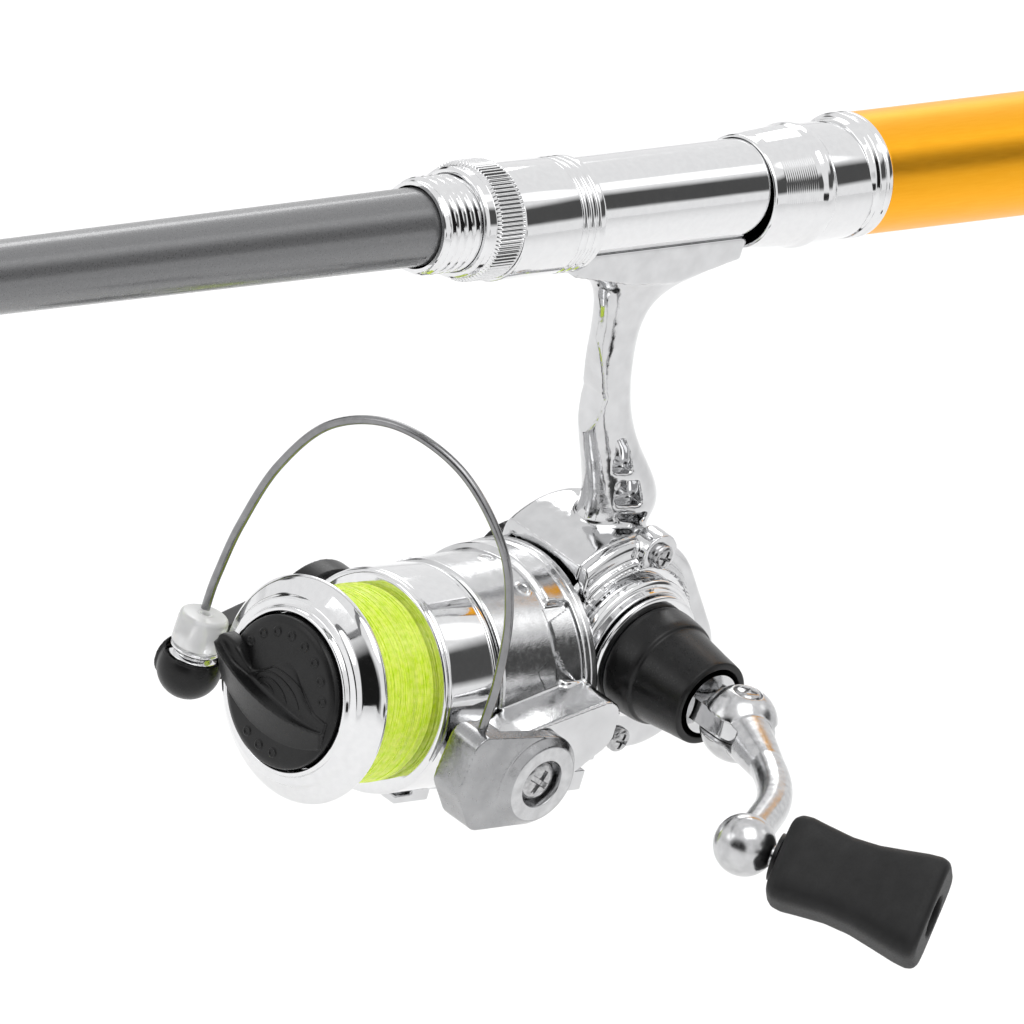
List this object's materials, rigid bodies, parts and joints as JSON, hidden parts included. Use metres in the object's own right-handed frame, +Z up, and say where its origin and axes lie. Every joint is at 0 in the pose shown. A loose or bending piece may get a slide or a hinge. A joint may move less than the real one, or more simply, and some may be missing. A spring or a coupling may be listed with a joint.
{
  "type": "fishing rod and reel",
  "caption": "Telescopic pocket fishing rod with a metal tube grip, screw-clamp reel seat and a small spinning reel with folding crank and wire bail.",
  "frame": {"origin": "middle of the grip tube, on the rod's axis", "axes": "+X along the rod from tip to butt, +Z up with the reel hanging below, +Y away from the crank side"},
  "size_m": [0.3663, 0.109, 0.0924],
  "materials": {
    "gold_anodised": "satin gold anodised",
    "chrome": "bright chrome plating",
    "grey_blank": "metallic grey lacquer over glass fibre",
    "black_plastic": "satin moulded black",
    "black_rubber": "matte soft black",
    "clear_white": "translucent white",
    "wire": "drawn spring wire",
    "steel": "turned steel",
    "brass": "turned brass",
    "fishing_line": "fluorescent nylon monofilament",
    "felt": "pressed felt"
  },
  "bodies": {
    "root": {"grip_tube": "gold_anodised", "butt_cap": "black_plastic", "seat_tube": "chrome", "threaded_ferrule": "chrome", "rear_hood": "chrome", "reel_housing": "chrome", "side_cover": "chrome", "cover_screws": "steel", "drive_bush_near": "brass", "drive_bush_far": "brass", "pinion_bush": "brass", "one_way_clutch": "steel"},
    "hood": {"slide_hood": "chrome"},
    "nut": {"lock_nut": "chrome"},
    "section_1": {"blank_1": "grey_blank", "guide_1": "wire"},
    "section_2": {"blank_2": "grey_blank", "guide_2": "wire"},
    "section_3": {"blank_3": "grey_blank", "guide_3": "wire"},
    "section_4": {"blank_4": "grey_blank", "guide_4": "wire"},
    "section_5": {"blank_5": "grey_blank", "tip_top": "wire"},
    "drive": {"drive_shaft": "steel", "drive_gear": "steel", "sleeve_ring": "chrome", "handle_sleeve": "black_plastic", "far_cap": "black_plastic", "crank_hub": "chrome", "fold_pin": "steel"},
    "crank": {"crank_arm": "chrome", "knob_spindle": "steel"},
    "knob": {"handle_knob": "black_rubber", "knob_washer": "black_plastic"},
    "rotor": {"rotor": "chrome", "rotor_nut": "steel", "pinion_gear": "brass", "bail_screws": "steel"},
    "bail": {"bail_holder": "chrome", "bail_wire": "wire", "bail_arm": "black_plastic", "roller_cap": "clear_white", "roller_pin": "steel"},
    "roller": {"line_roller": "chrome"},
    "shaft": {"main_shaft": "steel", "slider_block": "clear_white"},
    "spool": {"spool": "chrome", "line_winding": "fishing_line", "drag_washers": "felt", "retaining_ring": "wire"},
    "drag": {"drag_knob": "black_plastic", "drag_spring": "wire"}
  },
  "joints": [
    {"name": "hood_slide", "type": "slide", "parent": "root", "child": "hood", "axis": [-1, 0, 0], "range_m": [0, 0.007]},
    {"name": "nut_turn", "type": "hinge", "parent": "hood", "child": "nut", "pos_m": [-0.1193, 0, 0], "axis": [-1, 0, 0], "range_deg": [0, 1805]},
    {"name": "section_1_slide", "type": "slide", "parent": "root", "child": "section_1", "axis": [1, 0, 0], "range_m": [0, 0.1495]},
    {"name": "section_2_slide", "type": "slide", "parent": "section_1", "child": "section_2", "axis": [-1, 0, 0], "range_m": [0, 0.15]},
    {"name": "section_3_slide", "type": "slide", "parent": "section_2", "child": "section_3", "axis": [-1, 0, 0], "range_m": [0, 0.15]},
    {"name": "section_4_slide", "type": "slide", "parent": "section_3", "child": "section_4", "axis": [-1, 0, 0], "range_m": [0, 0.15]},
    {"name": "section_5_slide", "type": "slide", "parent": "section_4", "child": "section_5", "axis": [-1, 0, 0], "range_m": [0, 0.15]},
    {"name": "crank_turn", "type": "hinge", "parent": "root", "child": "drive", "pos_m": [-0.0763, 0, -0.0608], "axis": [0, -1, 0], "continuous": true},
    {"name": "crank_fold", "type": "hinge", "parent": "drive", "child": "crank", "pos_m": [-0.0763, -0.032, -0.0608], "axis": [0, 0, 1], "range_deg": [-31, 55]},
    {"name": "knob_turn", "type": "hinge", "parent": "crank", "child": "knob", "pos_m": [-0.1013, -0.0601, -0.0608], "axis": [0.5201, -0.8541, 0], "continuous": true},
    {"name": "rotor_turn", "type": "hinge", "parent": "root", "child": "rotor", "pos_m": [-0.1293, 0, -0.0678], "axis": [1, 0, 0], "continuous": true},
    {"name": "bail_flip", "type": "hinge", "parent": "rotor", "child": "bail", "pos_m": [-0.1006, 0, -0.0713], "axis": [0, 1, 0], "range_deg": [0, 34]},
    {"name": "roller_turn", "type": "hinge", "parent": "bail", "child": "roller", "pos_m": [-0.1239, 0.019, -0.0678], "axis": [0, 0, 1], "continuous": true},
    {"name": "spool_slide", "type": "slide", "parent": "root", "child": "shaft", "axis": [-1, 0, 0], "range_m": [0, 0.007]},
    {"name": "spool_turn", "type": "hinge", "parent": "shaft", "child": "spool", "pos_m": [-0.1293, 0, -0.0678], "axis": [1, 0, 0], "continuous": true},
    {"name": "drag_turn", "type": "hinge", "parent": "shaft", "child": "drag", "pos_m": [-0.1293, 0, -0.0678], "axis": [1, 0, 0], "range_deg": [-360, 360]}
  ],
  "couplings": [
    {"joint": "nut_turn", "follows": "hood_slide", "rad_per_m": 4488},
    {"joint": "rotor_turn", "follows": "crank_turn", "ratio": -4.3333}
  ]
}
